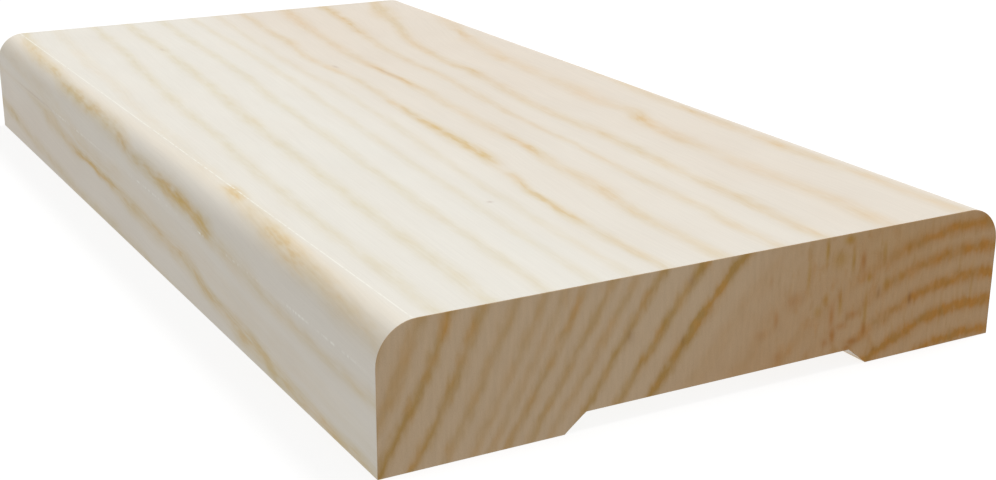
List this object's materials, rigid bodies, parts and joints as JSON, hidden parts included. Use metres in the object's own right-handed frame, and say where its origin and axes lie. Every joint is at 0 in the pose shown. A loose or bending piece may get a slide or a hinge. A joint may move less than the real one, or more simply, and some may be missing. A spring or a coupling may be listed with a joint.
{
  "type": "architrave",
  "caption": "Short length of planed pine architrave: a flat board with rounded face arrises and a shallow splayed relief channel along its back.",
  "frame": {"origin": "on the floor under the middle of the piece, in the plane of the back of both legs, midway along the length and midway across the face", "axes": "+X along the grain, towards the end that the picture shows nearest; +Y across the face, towards the edge with the narrower back leg; +Z out of the face"},
  "size_m": [0.175, 0.09, 0.018],
  "materials": {
    "planed_pine": "planed and unfinished: pale sapwood with straw-coloured growth lines along the grain, darker growth rings on the sawn ends"
  },
  "bodies": {
    "root": {"architrave": "planed_pine"}
  },
  "joints": []
}
